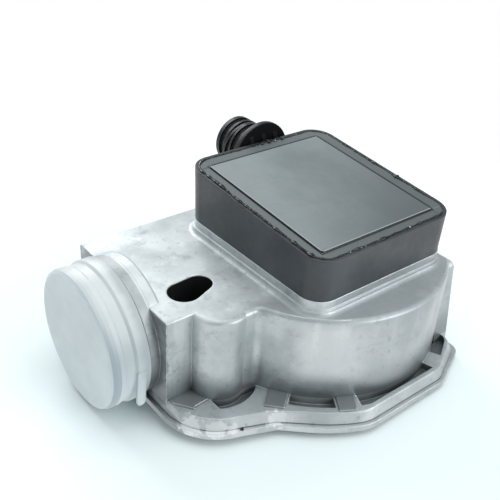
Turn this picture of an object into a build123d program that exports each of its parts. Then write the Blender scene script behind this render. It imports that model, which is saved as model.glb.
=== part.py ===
from build123d import *
import os
from math import atan, cos, degrees, pi, radians, sin, sqrt

# Vane air flow meter: a die-cast duct with a spring-loaded vane on an upright shaft,
# a damping chamber beside the duct and a sealed potentiometer box above the shaft.
# The origin is on the shaft axis, level with the underside. X runs along the duct,
# with the inlet face at +X and the hose spigot at -X. Y points to the connector side.

os.makedirs("parts", exist_ok=True)

# Fits between neighbouring pieces
running_gap = 0.03
seat_gap = 0.02
vane_gap = 0.45
blade_tip_gap = 0.5
wire_gap = 0.08

# Levels above the underside
cover_thickness = 4.2
flange_top = 9.5
pocket_floor = 5.4
body_top = 54.5
roof_thickness = 4.0
pedestal_step = 57.5
box_base = 61.7
inlet_plate_top = 50.7
roof_end_x = 44.5

# Duct block
outlet_face_x = -101.0
inlet_face_x = 50.0
front_wall_y = -14.0
back_wall_y = 63.5
wall = 4.6
inlet_plate_thickness = 10.0
inlet_opening_width = 60.0
inlet_opening_height = 37.0
inlet_opening_y = 24.0
inlet_opening_z = 27.5
inlet_plate_front_y = -49.2
inlet_plate_back_y = 66.5
inlet_plate_draft = 5.4
inlet_hole_radius = 2.5
inlet_hole_depth = 8.5
inlet_hole_pitch_y = 72.0
inlet_hole_pitch_z = 30.0

# Damping drum and bypass bulge
drum_radius = 66.5
damper_radius = 62.5
chamber_end_wall = 4.0
bulge_x = -73.5
bulge_y = -14.5
bulge_radius = 14.0
bypass_bore_radius = 9.0
bypass_port_reach = 6.5
drum_overlap = 10.0
valley_radius = 4.0

# Pocketed flange that carries the base cover
flange_arc_radius = 80.6
flange_front_y = -75.4
flange_lobe_radius = 30.2
flange_back_y = 74.0
flange_shoulder_run = 27.0
flange_corner_run = 49.5
flange_inset = 1.7
flange_slope = 2.3
rim_inner_radius = 73.0
rim_width = 2.2
bulge_rim_radius = 19.5
rim_round = 0.6
roof_round = 2.4
duct_edge_round = 0.9
cover_edge_round = 1.4

# Cover screws
screw_radius = 2.0
screw_head_radius = 3.9
screw_length = 7.2
cover_screw_places = [(-90.5, -19.0), (-58.5, -41.0), (-32.6, -62.2), (26.2, -65.8),
                      (-92.0, 67.5), (-25.0, 67.5), (32.0, 67.5)]
seal_width = 1.6
seal_depth = 1.2

# Hose spigot and the cap pushed on it
spigot_y = 24.75
spigot_z = 30.5
spigot_radius = 31.6
spigot_bore = 28.6
spigot_length = 20.0
root_ring_radius = 34.0
root_ring_width = 4.9
ring_cover_gap = 0.3
ring_foot = 0.4
cap_radius = 34.3
cap_wall = 1.6
cap_gap = 0.3
cap_face_x = -125.0
cap_skirt_x = -106.4
cap_skirt_flare = 0.6
tab_angle = 4.0
tab_length = 18.5
tab_set_back = 2.6
tab_width = 4.2
tab_thickness = 1.5

# Bypass screw well
well_x = -77.2
well_y = 2.2
well_length = 24.0
well_radius = 6.6
well_eye_radius = 8.0
well_floor = 38.5
well_wall = 3.0
adjuster_radius = 3.0
adjuster_head_radius = 4.6

# Intake air temperature probe
probe_place = (28.0, 24.0)
probe_radius = 4.0
probe_bottom = 33.0

# Pedestal and box
box_x = -2.6
box_y = 0.95
box_base_length = 88.4
box_base_width = 98.5
box_corner = 11.2
box_draft = 1.1
box_wall = 2.5
box_floor = 2.2
rim_level = 86.5
lid_slope = degrees(atan(0.08))
pedestal_margin = 0.9
pedestal_ledge = 0.7
pedestal_edge_round = 0.45
pedestal_wall = 4.5
pedestal_recess_floor = 56.6
pedestal_sweep = 2.4
lid_margin = 3.3
lid_x = -3.0
lid_y = 0.8
lid_sheet = 1.0
lid_drop = 1.7
lid_step = 0.8
panel_margin_x = 5.9
panel_margin_y = 5.1
bead_width = 1.7
bead_height = 1.5
shaft_hole_radius = 9.0
box_screw_inset = 8.0
box_screw_radius = 1.7

# Connector
connector_x = 4.9
connector_z = 81.1
disc_radius = 17.8
disc_thickness = 3.4
disc_stand_off = 3.8
rib_stand_off = 0.7
neck_reach = 3.6
neck_half_width = 9.5
neck_below = 9.0
neck_above = 5.5
neck_gap = 0.5
barrel_radius = 12.0
barrel_bore = 9.6
ridge_radius = 13.3
barrel_length = 24.0
pin_pitch = 7.0
pin_radius = 0.8
insert_radius = 6.6
box_back_y = box_y + box_base_width / 2
disc_face_y = box_back_y + disc_stand_off
socket_wall_y = box_back_y + rib_stand_off
neck_inner_y = box_back_y - neck_reach

# Shaft, bearings and vane
shaft_radius = 3.0
journal_radius = 2.5
shaft_bottom = 1.9
shaft_top = 80.5
bush_radius = 5.0
bearing_boss_radius = 8.8
bearing_boss_top = 9.0
upper_bush_bottom = 51.0
upper_bush_top = 59.0
hub_radius = 8.0
blade_thickness = 3.0
flow_blade_radius = back_wall_y - wall - blade_tip_gap
damper_blade_radius = damper_radius - blade_tip_gap
flow_blade_deg = 90.0
damper_blade_deg = 207.0
vane_swing_deg = 85.0
blade_rib = 3.2
stop_post_radius = 2.0
stop_buffer_radius = 3.5
stop_post_reach = 30.0

# Potentiometer stack inside the box
wheel_base = 64.1
wheel_radius = 25.4
wheel_tooth = 1.8
wheel_teeth = 48
wheel_height = 6.4
spring_inner = 8.2
spring_outer = 20.4
spring_turns = 6
spring_strip = 0.5
spring_height = 4.0
board_bottom = 72.0
board_thickness = 1.2
board_inner = 13.0
board_outer = 33.0
board_start_deg = 0.0
board_end_deg = 125.0
pillar_radius = 2.4
arm_bottom = 76.0
arm_thickness = 1.6
arm_start_deg = 20.0
arm_length = 27.0
wiper_hub_radius = 7.0
clip_level = 78.6
wire_radius = 0.5
wire_post_radius = 1.6
wire_post = (-38.0, -12.0)
post_radius = 1.5


def prism(outline, low, high):
    return extrude(Pos(0, 0, low) * outline, high - low)


def tube(outer, inner, low, high):
    return prism(Circle(outer) - Circle(inner), low, high)


def block(low, high):
    size = [b - a for a, b in zip(low, high)]
    middle = [(a + b) / 2 for a, b in zip(low, high)]
    return Pos(*middle) * Box(*size)


def polar(radius, angle_deg):
    return (radius * cos(radians(angle_deg)), radius * sin(radians(angle_deg)))


def sector(outer, inner, start_deg, end_deg):
    """Ring sector about the origin, from start to end anticlockwise."""
    middle = (start_deg + end_deg) / 2
    edges = [
        ThreePointArc(polar(outer, start_deg), polar(outer, middle), polar(outer, end_deg)),
        Line(polar(outer, end_deg), polar(inner, end_deg)),
        ThreePointArc(polar(inner, end_deg), polar(inner, middle), polar(inner, start_deg)),
        Line(polar(inner, start_deg), polar(outer, start_deg)),
    ]
    return make_face(edges)


def along_x(shape, x, y, z):
    """Put a shape that is modelled along Z onto an axis along X at y, z."""
    return Pos(x, y, z) * Rot(0, 90, 0) * shape


def along_y(shape, x, y, z):
    """Put a shape that is modelled along Z onto an axis along Y at x, z."""
    return Pos(x, y, z) * Rot(-90, 0, 0) * shape


def cover_outline(inset=0.0):
    """Plan of the base: bulge lobe, arc round the drum, flat front and square back."""
    lobe = flange_lobe_radius - inset
    left = bulge_x - lobe
    right = inlet_face_x - 0.4 - inset
    back = flange_back_y - inset
    front = flange_front_y + inset
    arc = flange_arc_radius - inset
    lobe_end = (bulge_x - 8.0, bulge_y - sqrt(lobe**2 - 8.0**2))
    dip = (bulge_x + 9.0, bulge_y - 36.0 + inset)
    arc_start = polar(arc, 227.0)
    arc_end = (-sqrt(arc**2 - front**2), front)
    arc_middle = polar(arc, (227.0 + 180.0 + degrees(atan(arc_end[1] / arc_end[0]))) / 2)
    shoulder = (inlet_face_x - flange_shoulder_run, front)
    corner = (right, front_wall_y - flange_corner_run + inset)
    lobe_mid = (bulge_x - lobe * cos(radians(35)), bulge_y - lobe * sin(radians(35)))
    edges = [
        Line((left, back), (left, bulge_y)),
        ThreePointArc((left, bulge_y), lobe_mid, lobe_end),
        Line(lobe_end, dip),
        Line(dip, arc_start),
        ThreePointArc(arc_start, arc_middle, arc_end),
        Line(arc_end, shoulder),
        Line(shoulder, corner),
        Line(corner, (right, back)),
        Line((right, back), (left, back)),
    ]
    face = make_face(edges)
    for point, radius in ((dip, 8.0), (arc_start, 8.0), (arc_end, 20.0), (shoulder, 14.0), (corner, 7.0)):
        face = fillet(face.vertices().sort_by_distance((*point, 0))[0], radius)
    return face


def duct_outline():
    return Pos((outlet_face_x + inlet_face_x) / 2 - 2, (front_wall_y + back_wall_y) / 2) * \
        Rectangle(inlet_face_x - outlet_face_x - 4, back_wall_y - front_wall_y)


def body_outline():
    """Plan of the walls above the flange: duct, damping drum and bypass bulge."""
    drum = Circle(drum_radius) & Pos(-10, -35) * Rectangle(112, 70)
    bulge = Pos(bulge_x, bulge_y) * Circle(bulge_radius)
    bridge = Pos(-66.5, (front_wall_y + bulge_y - bulge_radius + 1.2) / 2) * \
        Rectangle(14.0, -(bulge_y - bulge_radius + 1.2) + front_wall_y)
    outline = duct_outline() + drum + bulge + bridge
    corner = outline.vertices().sort_by_distance((-59.5, -27.5, 0))[0]
    outline = fillet(corner, valley_radius)
    inlet_corner = outline.vertices().sort_by_distance((46.0, -50.0, 0))[0]
    return fillet(inlet_corner, 6.0)


def drum_outline():
    """Plan of the drum and the bulge alone, ending inside the duct."""
    left = bulge_x - bulge_radius
    right = inlet_face_x - 4
    depth = drum_radius + 2 * drum_overlap
    middle = Pos((left + right) / 2, front_wall_y + drum_overlap - depth / 2)
    return body_outline() & middle * Rectangle(right - left, depth)


def roof_well(extra):
    """Keyhole plan of the screw well, grown by extra on all sides."""
    eye = Pos(well_x - well_length / 2 + well_eye_radius, well_y - 0.6) * Circle(well_eye_radius + extra)
    tail = Pos(well_x + well_length / 2 - well_radius, well_y + 1.4) * Circle(well_radius + extra)
    return make_hull((eye + tail).edges())


def chamber_end_deg():
    """Direction of the damping blade when the vane is fully open."""
    return damper_blade_deg + vane_swing_deg


def chamber_end_gap():
    """Room beyond the middle of the open damping blade, for its ribs and a running gap."""
    return blade_thickness / 2 + blade_rib + 2 * vane_gap


def chamber_strip(width):
    """Strip of the chamber beside the open damping blade."""
    strip = Pos(damper_radius / 2, width / 2) * Rectangle(damper_radius, width)
    return Circle(damper_radius) & Rot(0, 0, chamber_end_deg()) * strip


def duct_cavity():
    """Air space under the roof, open at the bottom until the cover closes it."""
    roof = body_top - roof_thickness
    length = inlet_face_x - inlet_plate_thickness - outlet_face_x - wall
    duct = Pos(outlet_face_x + wall + length / 2, (front_wall_y + back_wall_y) / 2) * \
        Rectangle(length, back_wall_y - front_wall_y - 2 * wall)
    duct = fillet(duct.vertices(), 5.0)
    damper = sector(damper_radius, 3.0, 180.0, chamber_end_deg()) + chamber_strip(chamber_end_gap())
    boss = prism(roof_well(well_wall), well_floor - well_wall, roof)
    return prism(duct + damper, cover_thickness, roof) - boss


def core_pocket():
    """Cored space between the damper wall, the drum and the inlet plate."""
    limit = inlet_face_x - inlet_plate_thickness - 1.0
    plan = Circle(damper_radius) & Pos(limit / 2, -31 - wall) * Rectangle(limit, 62 + 2 * front_wall_y)
    keep = Rot(0, 0, chamber_end_deg()) * Pos(50, 30 + chamber_end_gap() + chamber_end_wall) * Rectangle(140, 60)
    plan = plan & keep
    return prism(plan, cover_thickness, body_top - roof_thickness - 6.0)


def inlet_plate():
    """Mounting plate at the inlet, wider at its foot than at its top."""
    thickness = inlet_plate_thickness
    profile = Polyline((inlet_plate_front_y, inlet_plate_top),
                       (inlet_plate_front_y - inlet_plate_draft, cover_thickness),
                       (inlet_plate_back_y + inlet_plate_draft / 4, cover_thickness),
                       (inlet_plate_back_y, inlet_plate_top), close=True)
    face = make_face(Plane.YZ.offset(inlet_face_x - thickness) * profile)
    plate = extrude(face, thickness, dir=(1, 0, 0))
    top_corners = plate.edges().filter_by(Axis.X).group_by(Axis.Z)[-1]
    return fillet(top_corners, 3.0)


def inlet_cuts():
    opening = RectangleRounded(inlet_opening_height, inlet_opening_width, 5.0)
    cut = along_x(extrude(opening, inlet_plate_thickness + 12), inlet_face_x - inlet_plate_thickness - 6,
                  inlet_opening_y, inlet_opening_z)
    hole = Cylinder(inlet_hole_radius, inlet_hole_depth, align=(Align.CENTER, Align.CENTER, Align.MAX))
    for side_y in (-0.5, 0.5):
        for side_z in (-0.5, 0.5):
            cut += along_x(hole, inlet_face_x, inlet_opening_y + side_y * inlet_hole_pitch_y,
                           inlet_opening_z + side_z * inlet_hole_pitch_z)
    return cut


def spigot():
    """Root ring, hose tube and the bead that holds a hose clamp."""
    root = outlet_face_x + 1.0
    ring = along_x(Cylinder(root_ring_radius, root_ring_width + 1.0), root - (root_ring_width + 1.0) / 2,
                   spigot_y, spigot_z)
    ring = ring & block((-200, -60, ring_foot), (0, 100, 100))
    tip = outlet_face_x - spigot_length
    pipe = along_x(Cylinder(spigot_radius, root - tip), (root + tip) / 2, spigot_y, spigot_z)
    bead = along_x(Torus(spigot_radius - 0.4, 1.0), tip + 3.0, spigot_y, spigot_z)
    return ring + pipe + bead - prism(cover_outline(-ring_cover_gap), -5, cover_thickness)


def spigot_cut():
    """Round bore of the tube, cut off above the flange where it enters the duct."""
    tip = outlet_face_x - spigot_length
    depth = wall + spigot_length + 2
    bore = along_x(Cylinder(spigot_bore, depth), tip + depth / 2 - 1, spigot_y, spigot_z)
    sill = block((outlet_face_x - root_ring_width, -60, -10), (0, 100, flange_top - 2.0))
    return bore - sill


def pedestal():
    """Raised seat for the box, with a swept foot and a stepped upper edge."""
    length = box_base_length + 2 * pedestal_margin
    width = box_base_width + 2 * pedestal_margin
    low = Pos(box_x, box_y) * RectangleRounded(length, width, box_corner + pedestal_margin)
    high = Pos(box_x, box_y) * RectangleRounded(length - 2 * pedestal_ledge, width - 2 * pedestal_ledge, box_corner)
    seat = prism(low, body_top - 1.0, pedestal_step)
    seat = fillet(seat.faces().sort_by(Axis.Z)[-1].edges(), pedestal_edge_round)
    sheet = Pos(box_x, box_y) * Rectangle(length + 6 * pedestal_sweep, width + 6 * pedestal_sweep)
    seat += prism(sheet, body_top - 1.0, body_top)
    foot = [edge for edge in seat.edges().filter_by_position(Axis.Z, body_top - 0.01, body_top + 0.01)
            if abs(edge.center().X - box_x) < length / 2 + 1 and abs(edge.center().Y - box_y) < width / 2 + 1]
    seat = fillet(foot, pedestal_sweep)
    roof = offset(body_outline(), -roof_round / 2) & Pos(roof_end_x - 100, 0) * Rectangle(200, 200)
    seat = seat & prism(roof, body_top - 1.0, pedestal_step)
    seat += prism(high, pedestal_step - 1.0, box_base)
    recess = RectangleRounded(length - 2 * pedestal_wall, width - 2 * pedestal_wall, box_corner - 4)
    seat -= prism(Pos(box_x, box_y) * recess, pedestal_recess_floor, box_base)
    for x, y in box_screw_places():
        seat += Pos(x, y, (pedestal_recess_floor + box_base) / 2) * \
            Cylinder(4.5, box_base - pedestal_recess_floor)
    return seat


def box_screw_places():
    half_x = box_base_length / 2 - box_screw_inset
    half_y = box_base_width / 2 - box_screw_inset
    return [(box_x + sx * half_x, box_y + sy * half_y) for sx in (-1, 1) for sy in (-1, 1)]


def flange():
    """Flange of the casting: sloping outer wall, and pockets between tapped screw lands."""
    foot = Pos(0, 0, cover_thickness) * cover_outline(flange_inset)
    top = Pos(0, 0, flange_top) * cover_outline(flange_inset + flange_slope)
    slab = loft([foot.faces()[0], top.faces()[0]], ruled=True)
    slab = fillet(slab.faces().sort_by(Axis.Z)[-1].edges(), rim_round)
    inside_rim = cover_outline(flange_inset + flange_slope + rim_width).faces()[0]
    for start, end in ((220.0, 237.6), (247.4, 287.0)):
        pocket = sector(rim_inner_radius, drum_radius - 3, start, end) & inside_rim
        slab -= prism(pocket, pocket_floor, flange_top + 1)
    end_pocket = sector(flange_arc_radius, drum_radius - 3, 295.8, 311.0) & Pos(rim_width, 0) * inside_rim
    slab -= prism(end_pocket, pocket_floor, flange_top + 1)
    lobe = Pos(bulge_x, bulge_y) * (Circle(bulge_rim_radius) - Circle(bulge_radius - 3))
    window = Pos(bulge_x + 1.5, bulge_y - 9.0 - 8.0) * Rectangle(23.0, 16.0)
    slab -= prism(lobe & window, pocket_floor, flange_top + 1)
    hole = prism(Circle(screw_radius - 0.05), cover_thickness - 1, flange_top - 0.9)
    for x, y in cover_screw_places:
        slab -= Pos(x, y) * hole
    return slab


def bypass_passages():
    """Bore in the bulge, its port from the damping chamber and the drilling to the well."""
    top = body_top - roof_thickness - 2.0
    bore = Pos(bulge_x, bulge_y) * prism(Circle(bypass_bore_radius), cover_thickness, top)
    port = block((bulge_x, -22.0, 14.0), (bypass_port_reach - damper_radius, bulge_y, 30.0))
    drilling = Pos(bulge_x, (bulge_y + well_y) / 2, well_floor + 4.5) * \
        Rot(90, 0, 0) * Cylinder(3.0, well_y - bulge_y)
    outlet = Pos(adjuster_x(), well_y, well_floor - well_wall / 2) * Cylinder(adjuster_radius + 0.4, well_wall + 2)
    return bore + port + drilling + outlet


def adjuster_x():
    return well_x - well_length / 2 + well_eye_radius


def stop_post_place():
    """Point beside the damper blade at rest, on the side that it must not pass."""
    across = blade_thickness / 2 + stop_buffer_radius + seat_gap
    a = radians(damper_blade_deg)
    return (stop_post_reach * cos(a) + across * sin(a), stop_post_reach * sin(a) - across * cos(a))


def make_casting():
    duct = prism(duct_outline(), cover_thickness, body_top)
    duct = fillet(duct.faces().sort_by(Axis.Z)[-1].edges(), duct_edge_round)
    drum = prism(drum_outline(), cover_thickness, body_top)
    walls = duct + fillet(drum.faces().sort_by(Axis.Z)[-1].edges(), roof_round)
    walls -= block((roof_end_x, -80, inlet_plate_top), (60, 90, 60))
    casting = walls + flange() + inlet_plate() + spigot() + pedestal()
    casting -= duct_cavity()
    casting -= core_pocket()
    casting -= inlet_cuts()
    casting -= spigot_cut()
    casting -= prism(roof_well(0), well_floor, body_top + 1)
    casting -= bypass_passages()
    roof = body_top - roof_thickness
    casting += prism(Circle(bearing_boss_radius), roof, upper_bush_top)
    casting -= prism(Circle(bush_radius + seat_gap), upper_bush_bottom, upper_bush_top + 1)
    casting -= prism(Circle(shaft_radius + 1.0), roof - 1, upper_bush_top + 1)
    for x, y in box_screw_places():
        casting -= prism(Pos(x, y) * Circle(box_screw_radius), box_base - 6.5, box_base + 1)
    casting += prism(Pos(*stop_post_place()) * Circle(stop_post_radius), 38.0, roof + 1)
    casting -= prism(Pos(*probe_place) * Circle(probe_radius + seat_gap), roof - 1, pedestal_recess_floor + 1)
    return casting


def make_cover():
    """Base cover: flat plate with the lower bearing boss and countersunk holes."""
    slab = prism(cover_outline(), 0, cover_thickness)
    slab = fillet(slab.faces().sort_by(Axis.Z)[0].edges(), cover_edge_round)
    slab += prism(Circle(bearing_boss_radius), cover_thickness, bearing_boss_top)
    slab -= prism(Circle(bush_radius + seat_gap), shaft_bottom - 0.3, bearing_boss_top + 1)
    groove = seal_ring(0.0)
    slab -= prism(groove, cover_thickness - seal_depth, cover_thickness)
    sink = Cone(screw_head_radius + 0.1, screw_radius + 0.2, 2.2, align=(Align.CENTER, Align.CENTER, Align.MIN))
    for x, y in cover_screw_places:
        slab -= Pos(x, y, 0) * sink
        slab -= prism(Pos(x, y) * Circle(screw_radius + 0.2), 0, cover_thickness)
    return slab


def seal_ring(shrink):
    """Plan of the seal cord under the walls, narrowed by shrink on each side."""
    wall_line = offset(body_outline(), -1.0 - shrink)
    inner = offset(body_outline(), -1.0 - seal_width + shrink)
    return wall_line - inner


def make_cover_seal():
    return prism(seal_ring(0.05), cover_thickness - seal_depth + 0.02, cover_thickness - 0.02)


def make_cover_screws():
    screws = []
    for x, y in cover_screw_places:
        head = Cone(screw_head_radius, screw_radius, 2.1, align=(Align.CENTER, Align.CENTER, Align.MIN))
        shank = prism(Circle(screw_radius - 0.1), 2.0, screw_length + 1.0)
        screw = head + shank - prism(RegularPolygon(1.4, 6), -1, 1.2)
        screws.append(Pos(x, y, 0.05) * screw)
    return Compound(children=screws)


def make_transit_cap():
    """Soft push-on cap with a stepped skirt and a pull tab that leaves it at a tangent."""
    depth = cap_skirt_x - cap_face_x
    outer = cap_radius
    profile = Polyline((0, 0), (outer - 2.0, 0), (outer - 0.6, 0.7), (outer, 2.4), (outer, 6.2),
                       (outer - 0.5, 7.0), (outer - 0.5, 11.4), (outer + cap_skirt_flare, 12.6),
                       (outer + cap_skirt_flare, depth), (spigot_radius + cap_gap + 0.6, depth),
                       (spigot_radius + cap_gap + 0.6, cap_wall + 3.0), (spigot_radius - 1.2, cap_wall),
                       (0, cap_wall), close=True)
    shell = revolve(Plane.XZ * make_face(profile), Axis.Z)
    middle = Pos(outer - 0.6 + tab_thickness / 2, tab_length / 2 - 1, depth - tab_set_back - tab_width / 2)
    tab = middle * Box(tab_thickness, tab_length + 2, tab_width)
    tip = tab.edges().filter_by(Axis.X).group_by(Axis.Y)[-1]
    tab = Rot(0, 0, tab_angle - 90) * fillet(tip, tab_width * 0.45)
    return along_x(shell + tab, cap_face_x, spigot_y, spigot_z)


def lid_frame(drop):
    """Plane parallel to the sloping lid, drop below the rim of the box."""
    slope = radians(lid_slope)
    rim = Plane(origin=(box_x, box_y, rim_level), x_dir=(1, 0, 0), z_dir=(0, -sin(slope), cos(slope)))
    return rim.offset(-drop)


def box_size_at(level):
    grow = 2 * (level - box_base) * sin(radians(box_draft)) / cos(radians(box_draft))
    return box_base_length + grow, box_base_width + grow


def lid_sheet_size(margin):
    length, width = box_size_at(rim_level)
    return length - 2 * margin, width - 2 * margin


def make_box():
    """Moulded box with drafted walls and a rim that slopes up to the connector."""
    tall = 34.0
    outline = Pos(box_x, box_y, box_base) * RectangleRounded(box_base_length, box_base_width, box_corner)
    shell = extrude(outline, tall, taper=-box_draft)
    inside = Pos(box_x, box_y, box_base + box_floor) * \
        RectangleRounded(box_base_length - 2 * box_wall, box_base_width - 2 * box_wall, box_corner - box_wall)
    shell -= extrude(inside, tall, taper=-box_draft)
    above = lid_frame(0) * Pos(0, 0, 20) * Box(200, 200, 40)
    shell -= above
    length, width = lid_sheet_size(lid_margin - 0.25)
    rebate = lid_frame(lid_drop + lid_sheet) * RectangleRounded(length, width, box_corner - 2.4)
    shell -= extrude(rebate, 10)
    shell -= prism(Circle(shaft_hole_radius), box_base - 1, box_base + box_floor + 1)
    for x, y in box_screw_places():
        shell -= prism(Pos(x, y) * Circle(screw_radius + 0.2), box_base - 1, box_base + box_floor + 1)
    for x, y in pillar_places():
        shell += prism(Pos(x, y) * Circle(pillar_radius), box_base + box_floor - 0.2, board_bottom)
    shell += prism(Pos(*wire_post) * Circle(wire_post_radius), box_base + box_floor - 0.2, wheel_base + 3)
    shell -= neck_block(neck_gap, neck_inner_y - 4)
    return shell.solids().sort_by(SortBy.VOLUME)[-1]


def make_lid():
    """Pressed sheet lid with a raised middle panel."""
    length, width = lid_sheet_size(lid_margin)
    low = lid_frame(lid_drop + lid_sheet)
    sheet = extrude(low * RectangleRounded(length, width, box_corner - 2.6), lid_sheet)
    aside = Pos(lid_x - box_x, lid_y - box_y)
    length, width = length - 2 * panel_margin_x, width - 2 * panel_margin_y
    panel_rise = extrude(lid_frame(lid_drop) * aside * RectangleRounded(length, width, 2.0), lid_step)
    hollow = aside * RectangleRounded(length - 2 * lid_sheet, width - 2 * lid_sheet, 1.2)
    return sheet + panel_rise - extrude(low * hollow, lid_step)


def make_bead():
    """Sealing compound laid between the lid edge and the rim."""
    length, width = lid_sheet_size(lid_margin - 0.1)
    ring = RectangleRounded(length, width, box_corner - 2.5) - \
        RectangleRounded(length - 2 * bead_width, width - 2 * bead_width, box_corner - 3.5)
    return extrude(lid_frame(lid_drop) * ring, bead_height)


def make_connector():
    """Round socket: stop disc, ribs to the box, ridged barrel and bayonet ramps."""
    disc = along_y(Cylinder(disc_radius, disc_thickness), connector_x, disc_face_y + disc_thickness / 2,
                   connector_z)
    disc = fillet(disc.edges().filter_by(GeomType.CIRCLE), 0.9)
    end_y = disc_face_y + barrel_length
    core = along_y(Cylinder(barrel_radius, barrel_length), connector_x, disc_face_y + barrel_length / 2,
                   connector_z)
    body = disc + core
    for near, far in ((end_y - 2.6, end_y), (end_y - 7.6, end_y - 6.2), (end_y - 12.4, end_y - 11.0)):
        body += along_y(Cylinder(ridge_radius, far - near), connector_x, (near + far) / 2, connector_z)
    band = along_y(Cylinder(ridge_radius, 9.0) - Cylinder(barrel_radius - 1, 9.0), connector_x,
                   end_y - 7.5, connector_z)
    ramp = along_y(Rot(14, 0, 0) * (Cylinder(ridge_radius + 2, 1.5) - Cylinder(barrel_radius - 1.5, 1.5)),
                   connector_x, end_y - 7.2, connector_z)
    body += ramp & band
    body += neck_block(0.0, neck_inner_y)
    for offset_x in (-8.0, 0.0, 8.0):
        rib = Plane.YZ.offset(connector_x + offset_x - 0.8) * make_face(
            Polyline((disc_face_y + 1, connector_z - 15), (socket_wall_y, connector_z - 13),
                     (socket_wall_y, connector_z + 5), (disc_face_y + 1, connector_z + 14.5), close=True))
        body += extrude(rib, 1.6, dir=(1, 0, 0))
    bore = along_y(Cylinder(barrel_bore, barrel_length - 6), connector_x, disc_face_y + 6 + (barrel_length - 6) / 2,
                   connector_z)
    body -= bore
    body -= along_y(Cylinder(insert_radius + seat_gap, 20), connector_x, disc_face_y, connector_z - 1.8)
    return body


def neck_block(extra, inner_y):
    """Neck of the socket through the back wall of the box, grown by extra beside and above."""
    half = neck_half_width + extra
    return block((connector_x - half, inner_y, connector_z - neck_below - extra),
                 (connector_x + half, disc_face_y + 1, connector_z + neck_above + extra))


def pin_places():
    half = pin_pitch / 2
    return [(connector_x + sx * half, connector_z - 1.8 + sz * half) for sx in (-1, 1) for sz in (-1, 1)]


def make_insert():
    """Insulator that holds the contact pins in the neck of the socket."""
    insert = along_y(Cylinder(insert_radius, 13.5), connector_x, disc_face_y - 0.5, connector_z - 1.8)
    for x, z in pin_places():
        insert -= along_y(Cylinder(pin_radius + 0.01, 30), x, disc_face_y, z)
    return insert


def make_pins():
    pins = []
    for x, z in pin_places():
        stem = along_y(Cylinder(pin_radius, 27.0), x, disc_face_y + 3.5, z)
        pins.append(chamfer(stem.edges().sort_by(Axis.Y)[-1], 0.35))
    return Compound(children=pins)


def make_probe():
    """Moulded cage of the intake air temperature probe, hung from the roof."""
    x, y = probe_place
    body = prism(Pos(x, y) * Circle(probe_radius), probe_bottom, pedestal_recess_floor + 2.0)
    body += prism(Pos(x, y) * Circle(probe_radius + 1.6), pedestal_recess_floor + 0.1, pedestal_recess_floor + 2.0)
    body -= prism(Pos(x, y) * Circle(probe_radius - 1.1), probe_bottom + 1.2, probe_bottom + 13.0)
    window = block((x - 6, y - 1.7, probe_bottom + 2.0), (x + 6, y + 1.7, probe_bottom + 11.5))
    body -= window
    body -= Pos(x, y, 0) * Rot(0, 0, 90) * Pos(-x, -y, 0) * window
    return body


def make_thermistor():
    """Glass bead of the probe with its two leads."""
    x, y = probe_place
    bead = Pos(x, y, probe_bottom + 6.5) * Sphere(1.3)
    for side in (-0.6, 0.6):
        bead += prism(Pos(x + side, y) * Circle(0.22), probe_bottom + 6.5, probe_bottom + 13.0)
    return bead


def make_bushes():
    lower = tube(bush_radius, shaft_radius + running_gap, shaft_bottom + 0.3, bearing_boss_top)
    upper = tube(bush_radius, shaft_radius + running_gap, upper_bush_bottom, upper_bush_top)
    return lower, upper


def make_shaft():
    """Steel shaft with a reduced top journal and a groove for the clip."""
    shaft = prism(Circle(shaft_radius), shaft_bottom, 62.0)
    shaft += prism(Circle(journal_radius), 62.0, shaft_top)
    shaft = chamfer(shaft.edges().filter_by(GeomType.CIRCLE).group_by(Axis.Z)[0], 0.4)
    shaft = chamfer(shaft.edges().filter_by(GeomType.CIRCLE).group_by(Axis.Z)[-1], 0.3)
    return shaft - tube(journal_radius + 1, journal_radius - 0.5, clip_level, clip_level + 0.9)


def make_clip():
    """E-shaped retaining clip in the groove at the top of the shaft."""
    ring = Circle(5.0) - Circle(journal_radius - 0.48)
    mouth = Pos(4, 0) * Rectangle(8, 3.6)
    scallops = Pos(*polar(3.6, 120)) * Circle(0.9) + Pos(*polar(3.6, 240)) * Circle(0.9)
    return prism(ring - mouth - scallops, clip_level + 0.05, clip_level + 0.85)


def blade(radius, angle_deg, rib_side):
    """Flat blade from the hub with a thickened tip and three ribs on one side."""
    low = cover_thickness + vane_gap
    high = body_top - roof_thickness - vane_gap
    half = blade_thickness / 2
    plate = prism(Pos(radius / 2, 0) * Rectangle(radius - 4, blade_thickness), low, high)
    tip = prism(Pos(radius - 2.0 - 0.06, 0) * RectangleRounded(4.0, blade_thickness + 2.0, 1.0), low, high)
    body = plate + tip
    for level in (low + 9.0, (low + high) / 2, high - 9.0):
        rib = Plane.XY.offset(level - 0.8) * make_face(
            Polyline((hub_radius - 1, rib_side * (half + blade_rib)), (radius - 6, rib_side * (half + 0.4)),
                     (radius - 6, 0), (hub_radius - 1, 0), close=True))
        body += extrude(rib, 1.6, dir=(0, 0, 1))
    return Rot(0, 0, angle_deg) * body


def make_vane():
    """Measuring blade and damping blade cast in one piece with their hub."""
    low = bearing_boss_top + vane_gap
    high = body_top - roof_thickness - vane_gap
    hub = prism(Circle(hub_radius), low, high)
    vane = hub + blade(flow_blade_radius, flow_blade_deg, -1)
    vane += blade(damper_blade_radius, damper_blade_deg, 1)
    corner = make_face(Polyline(polar(6, flow_blade_deg + 3), polar(22, flow_blade_deg + 3),
                                polar(22, damper_blade_deg - 3), polar(6, damper_blade_deg - 3), close=True))
    for level in (low + 6.0, high - 8.0):
        vane += prism(corner, level, level + 2.0)
    vane -= prism(Circle(bearing_boss_radius + vane_gap), 0, low)
    vane -= prism(Circle(shaft_radius), 0, 60)
    return vane


def make_stop_buffer():
    px, py = stop_post_place()
    return Pos(px, py) * tube(stop_buffer_radius, stop_post_radius + seat_gap, 39.0, 49.5)


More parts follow.
